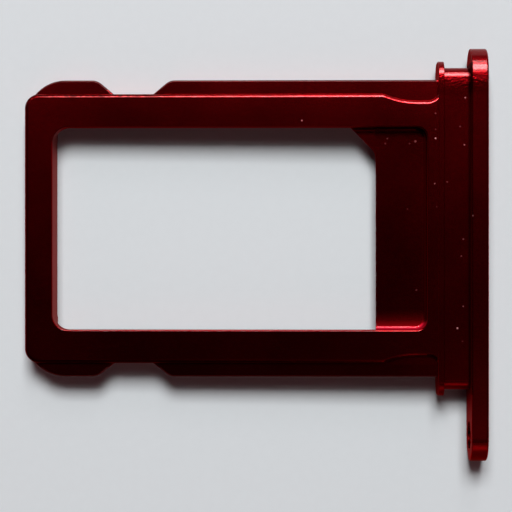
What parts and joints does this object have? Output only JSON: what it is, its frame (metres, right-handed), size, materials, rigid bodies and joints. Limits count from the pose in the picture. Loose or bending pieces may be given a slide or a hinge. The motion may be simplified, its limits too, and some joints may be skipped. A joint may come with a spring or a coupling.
{
  "type": "sim card tray",
  "caption": "Card tray of a phone: a raised frame round a card window, side rails with detent notches, and a grooved neck behind a rounded faceplate with a pin hole.",
  "frame": {"origin": "on the faceplate's outer face, on the tray's centreline, at half the faceplate's height", "axes": "+X out of the phone, away from the tray, +Y along the faceplate towards its shorter end, +Z out of the frame's upper side, which faces away from the card pocket"},
  "size_m": [0.0165, 0.0147, 0.0018],
  "materials": {
    "anodised_aluminium": "bead-blasted and anodised dark red, satin"
  },
  "bodies": {
    "root": {"sim_tray": "anodised_aluminium"}
  },
  "joints": []
}
